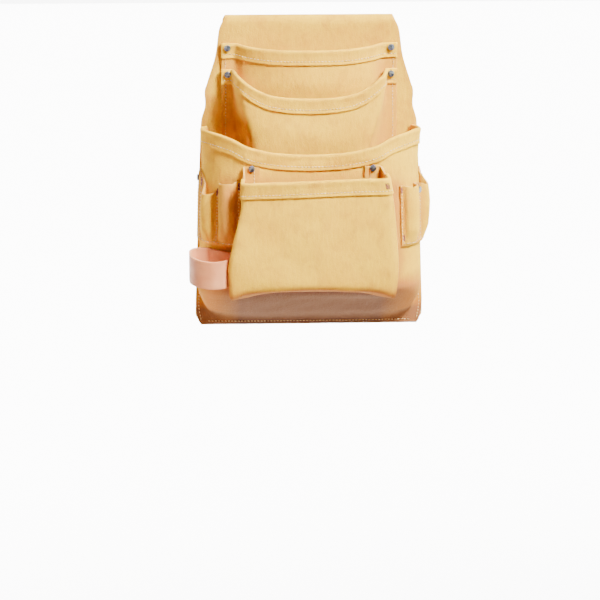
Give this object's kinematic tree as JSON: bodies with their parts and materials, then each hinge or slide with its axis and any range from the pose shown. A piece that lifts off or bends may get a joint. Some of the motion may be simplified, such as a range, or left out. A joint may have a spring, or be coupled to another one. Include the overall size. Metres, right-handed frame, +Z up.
{
  "type": "carpenter nail apron",
  "caption": "Suede tool bag that hangs on a belt, with stacked nail pockets in front, slim tool pockets at the sides and a strap loop for a handle.",
  "frame": {"origin": "middle of the belt tunnel behind the top of the back panel, where the belt's middle line passes", "axes": "+X to the right as seen from the front, along the belt; +Y to the back, towards the wearer; +Z up"},
  "size_m": [0.2536, 0.1146, 0.3334],
  "materials": {
    "suede_panel": "split suede, matt, with a short nap",
    "suede_pocket": "split suede, matt, with a short nap",
    "tanned_strap": "vegetable tanned, smooth, satin",
    "rivet_steel": "blackened steel cap, worn bright on top"
  },
  "bodies": {
    "root": {"back_panel": "suede_panel", "upper_pocket": "suede_pocket", "middle_pocket": "suede_pocket", "main_pocket": "suede_pocket", "front_pocket": "suede_pocket", "left_tool_pockets": "suede_pocket", "right_tool_pockets": "suede_pocket", "handle_loop": "tanned_strap", "upper_rivet_left": "rivet_steel", "upper_rivet_right": "rivet_steel", "middle_rivet_left": "rivet_steel", "middle_rivet_right": "rivet_steel", "tunnel_rivet_left": "rivet_steel", "tunnel_rivet_right": "rivet_steel", "front_rivet_left": "rivet_steel", "front_rivet_right": "rivet_steel", "left_side_rivet": "rivet_steel", "right_side_rivet": "rivet_steel", "right_seam_rivet": "rivet_steel", "loop_rivet_upper": "rivet_steel", "loop_rivet_lower": "rivet_steel"}
  },
  "joints": []
}
